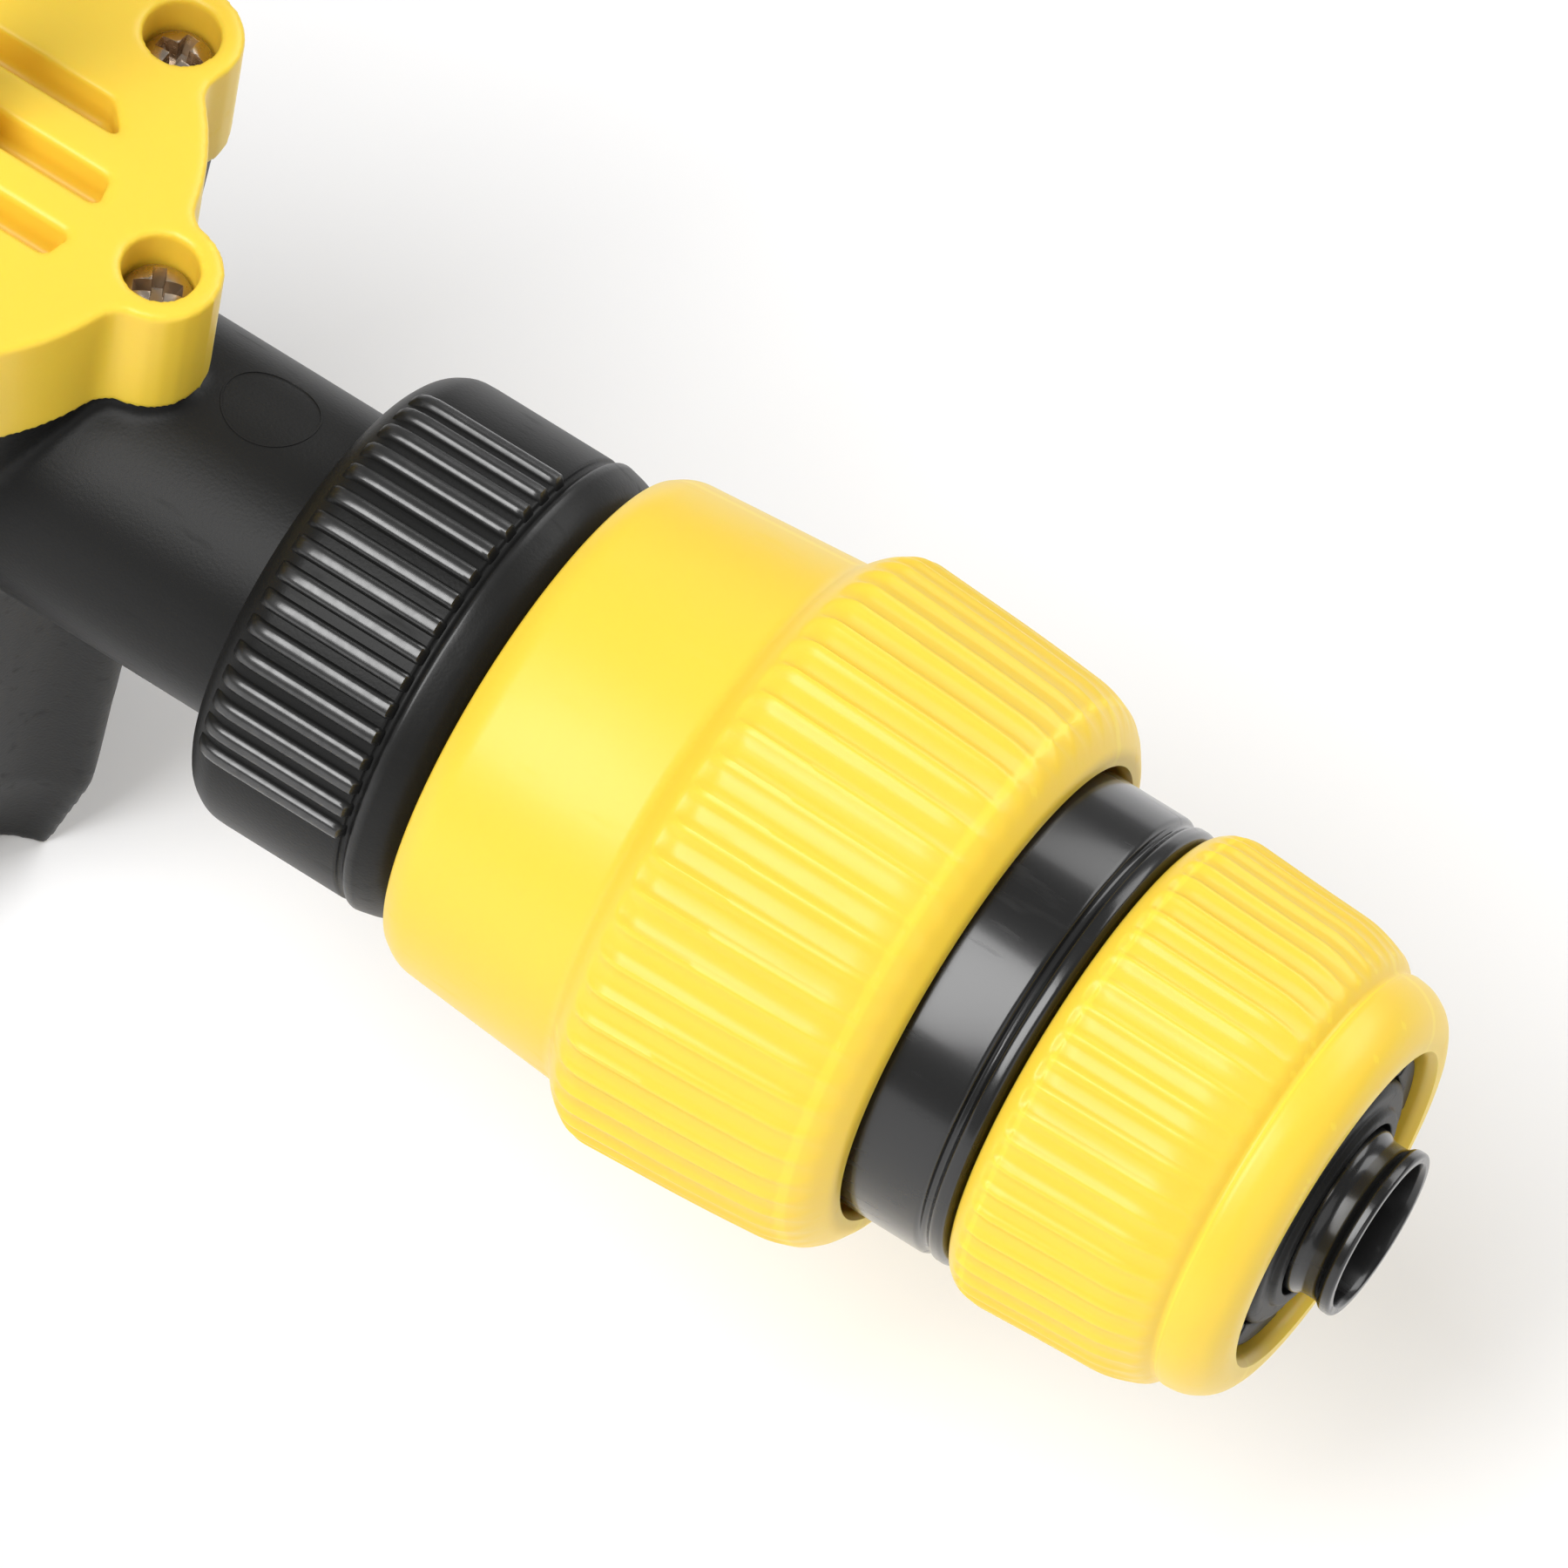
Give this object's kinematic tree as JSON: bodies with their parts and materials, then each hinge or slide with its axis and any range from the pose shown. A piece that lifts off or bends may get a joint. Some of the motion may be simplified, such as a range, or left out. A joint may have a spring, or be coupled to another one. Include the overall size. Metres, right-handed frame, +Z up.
{
  "type": "drill-driven hose pump head",
  "caption": "Small drill-driven hose pump head: black lobed casing under a yellow ribbed cover, a hex drive shaft, and a tap adaptor with a yellow quick hose connector on each side.",
  "frame": {"origin": "centre of the foot, straight under the drive shaft", "axes": "+Z up out of the ribbed cover along the drive shaft, +X along the outlet connector towards its hose tail"},
  "size_m": [0.229, 0.044, 0.112],
  "materials": {
    "yellow_plastic": "soft gloss moulded, warm yellow",
    "black_plastic": "satin moulded, faint grain",
    "gloss_black_plastic": "polished moulded",
    "black_rubber": "moulded rubber",
    "nickel_screw": "dull plated steel",
    "shaft_steel": "turned steel",
    "spring_steel": "drawn wire",
    "bronze": "sintered bronze"
  },
  "bodies": {
    "casing": {"pump_casing": "black_plastic", "ribbed_cover": "yellow_plastic", "cover_gasket": "black_rubber", "cover_screw_1": "nickel_screw", "cover_screw_2": "nickel_screw", "cover_screw_3": "nickel_screw", "cover_screw_4": "nickel_screw", "cover_screw_5": "nickel_screw", "cover_screw_6": "nickel_screw", "shaft_seal": "black_rubber", "top_bush": "bronze", "bottom_bush": "bronze"},
    "rotor": {"drive_shaft": "shaft_steel", "impeller": "black_rubber", "thrust_washer": "bronze", "retaining_ring": "shaft_steel"},
    "outlet_washer": {"outlet_flat_washer": "black_rubber"},
    "outlet_adaptor": {"outlet_tap_adaptor": "black_plastic", "outlet_spigot_o_ring": "black_rubber"},
    "outlet_connector": {"outlet_connector_body": "gloss_black_plastic", "outlet_lock_ring": "black_plastic", "outlet_sleeve_spring": "spring_steel"},
    "outlet_sleeve": {"outlet_release_sleeve": "yellow_plastic"},
    "outlet_collet": {"outlet_grip_collet": "black_plastic"},
    "outlet_clamp": {"outlet_clamp_nut": "yellow_plastic"},
    "inlet_washer": {"inlet_flat_washer": "black_rubber"},
    "inlet_adaptor": {"inlet_tap_adaptor": "black_plastic", "inlet_spigot_o_ring": "black_rubber"},
    "inlet_connector": {"inlet_connector_body": "gloss_black_plastic", "inlet_lock_ring": "black_plastic", "inlet_sleeve_spring": "spring_steel"},
    "inlet_sleeve": {"inlet_release_sleeve": "yellow_plastic"},
    "inlet_collet": {"inlet_grip_collet": "black_plastic"},
    "inlet_clamp": {"inlet_clamp_nut": "yellow_plastic"}
  },
  "joints": [
    {"name": "shaft_spin", "type": "hinge", "parent": "casing", "child": "rotor", "pos_m": [0, 0, 0.0692], "axis": [0, 0, 1], "continuous": true},
    {"name": "outlet_washer_slide", "type": "slide", "parent": "casing", "child": "outlet_washer", "axis": [1, 0, 0], "range_m": [0, 0.0054]},
    {"name": "outlet_adaptor_turn", "type": "hinge", "parent": "outlet_washer", "child": "outlet_adaptor", "pos_m": [0.0497, 0, 0.04665], "axis": [1, 0, 0], "range_deg": [0, 1080]},
    {"name": "outlet_connector_swivel", "type": "hinge", "parent": "outlet_adaptor", "child": "outlet_connector", "pos_m": [0.06, 0, 0.04665], "axis": [1, 0, 0], "continuous": true},
    {"name": "outlet_sleeve_slide", "type": "slide", "parent": "outlet_connector", "child": "outlet_sleeve", "axis": [1, 0, 0], "range_m": [0, 0.005], "stiffness_N_per_m": 800, "springref_m": -0.002},
    {"name": "outlet_collet_slide", "type": "slide", "parent": "outlet_connector", "child": "outlet_collet", "axis": [1, 0, 0], "range_m": [0, 0.006]},
    {"name": "outlet_clamp_turn", "type": "hinge", "parent": "outlet_collet", "child": "outlet_clamp", "pos_m": [0.1, 0, 0.04665], "axis": [1, 0, 0], "range_deg": [0, 720]},
    {"name": "inlet_washer_slide", "type": "slide", "parent": "casing", "child": "inlet_washer", "axis": [-1, 0, 0], "range_m": [0, 0.0054]},
    {"name": "inlet_adaptor_turn", "type": "hinge", "parent": "inlet_washer", "child": "inlet_adaptor", "pos_m": [-0.0497, 0, 0.04665], "axis": [-1, 0, 0], "range_deg": [0, 1080]},
    {"name": "inlet_connector_swivel", "type": "hinge", "parent": "inlet_adaptor", "child": "inlet_connector", "pos_m": [-0.06, 0, 0.04665], "axis": [-1, 0, 0], "continuous": true},
    {"name": "inlet_sleeve_slide", "type": "slide", "parent": "inlet_connector", "child": "inlet_sleeve", "axis": [-1, 0, 0], "range_m": [0, 0.005], "stiffness_N_per_m": 800, "springref_m": -0.002},
    {"name": "inlet_collet_slide", "type": "slide", "parent": "inlet_connector", "child": "inlet_collet", "axis": [-1, 0, 0], "range_m": [0, 0.006]},
    {"name": "inlet_clamp_turn", "type": "hinge", "parent": "inlet_collet", "child": "inlet_clamp", "pos_m": [-0.1, 0, 0.04665], "axis": [-1, 0, 0], "range_deg": [0, 720]}
  ],
  "couplings": [
    {"joint": "outlet_adaptor_turn", "follows": "outlet_washer_slide", "rad_per_m": 3490.7},
    {"joint": "outlet_clamp_turn", "follows": "outlet_collet_slide", "rad_per_m": 2094.4},
    {"joint": "inlet_adaptor_turn", "follows": "inlet_washer_slide", "rad_per_m": 3490.7},
    {"joint": "inlet_clamp_turn", "follows": "inlet_collet_slide", "rad_per_m": 2094.4}
  ]
}
